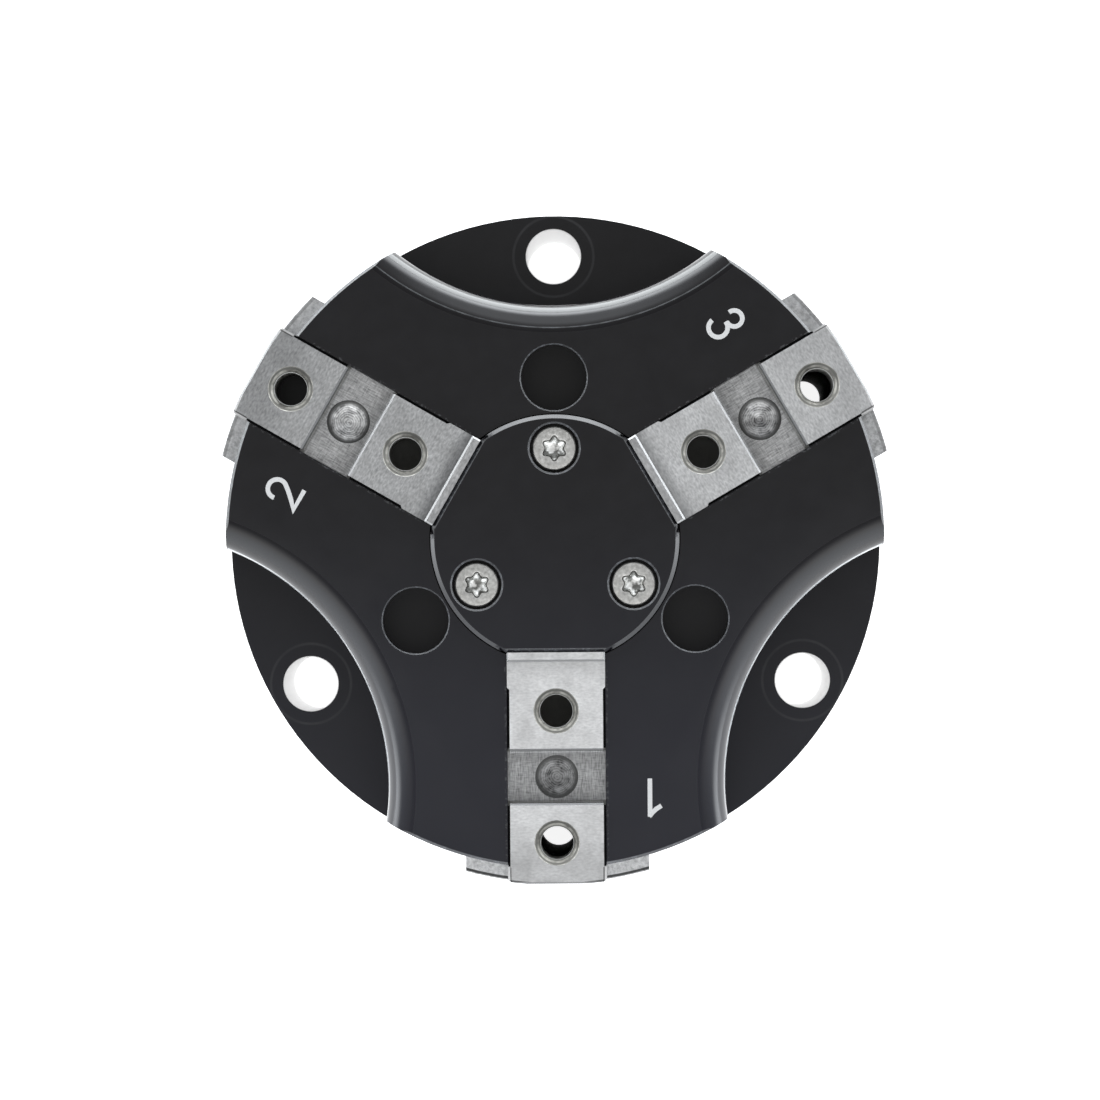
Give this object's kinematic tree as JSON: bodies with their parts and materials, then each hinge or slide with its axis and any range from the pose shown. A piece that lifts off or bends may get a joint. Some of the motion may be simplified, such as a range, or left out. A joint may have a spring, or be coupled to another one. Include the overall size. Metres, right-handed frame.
{
  "type": "three jaw centric gripper",
  "caption": "Round pneumatic gripper whose jaws slide in and out together, driven by a wedge hook on a piston, with lobes for bolting it to a robot flange.",
  "frame": {"origin": "centre of the base face, on the gripper's axis", "axes": "+Z along the axis from the base towards the jaws; jaw 1 slides along -Y, jaw 3 at 30 degrees and jaw 2 at 150 degrees from +X"},
  "size_m": [0.1016, 0.1025, 0.0649],
  "materials": {
    "anodised_housing": "hard-anodised near-black, fine milled texture",
    "anodised_cover": "hard-anodised near-black, flat",
    "screw_steel": "zinc-nickel plated",
    "plug_steel": "dark phosphated",
    "spring_steel": "phosphated spring steel",
    "seal_rubber": "moulded nitrile",
    "seal_polyurethane": "moulded polyurethane",
    "bumper_rubber": "moulded elastomer",
    "guide_plastic": "filled bearing plastic",
    "turned_aluminium": "turned",
    "hook_steel": "hardened and ground",
    "ground_jaw_steel": "hardened, surface-ground lands, milled groove"
  },
  "bodies": {
    "body": {"housing": "anodised_housing", "centre_cover": "anodised_cover", "cover_screws": "screw_steel", "cylinder_cover": "anodised_cover", "cylinder_cover_o_ring": "seal_rubber", "retaining_ring": "spring_steel", "rod_seal": "seal_polyurethane", "upper_bumper": "bumper_rubber", "lower_bumper": "bumper_rubber", "port_plugs": "plug_steel"},
    "drive": {"piston": "turned_aluminium", "piston_seal": "seal_polyurethane", "piston_guide_ring": "guide_plastic", "piston_screw": "plug_steel", "piston_o_ring": "seal_rubber", "wedge_hook": "hook_steel"},
    "jaw_1": {"base_jaw_1": "ground_jaw_steel"},
    "jaw_2": {"base_jaw_2": "ground_jaw_steel"},
    "jaw_3": {"base_jaw_3": "ground_jaw_steel"}
  },
  "joints": [
    {"name": "piston_slide", "type": "slide", "parent": "body", "child": "drive", "axis": [0, 0, 1], "range_m": [0, 0.009]},
    {"name": "jaw_1_slide", "type": "slide", "parent": "body", "child": "jaw_1", "axis": [0, -1, 0], "range_m": [0, 0.006]},
    {"name": "jaw_2_slide", "type": "slide", "parent": "body", "child": "jaw_2", "axis": [-0.866, 0.5, 0], "range_m": [0, 0.006]},
    {"name": "jaw_3_slide", "type": "slide", "parent": "body", "child": "jaw_3", "axis": [0.866, 0.5, 0], "range_m": [0, 0.006]}
  ],
  "couplings": [
    {"joint": "jaw_1_slide", "follows": "piston_slide", "ratio": 0.66667},
    {"joint": "jaw_2_slide", "follows": "piston_slide", "ratio": 0.66667},
    {"joint": "jaw_3_slide", "follows": "piston_slide", "ratio": 0.66667}
  ]
}
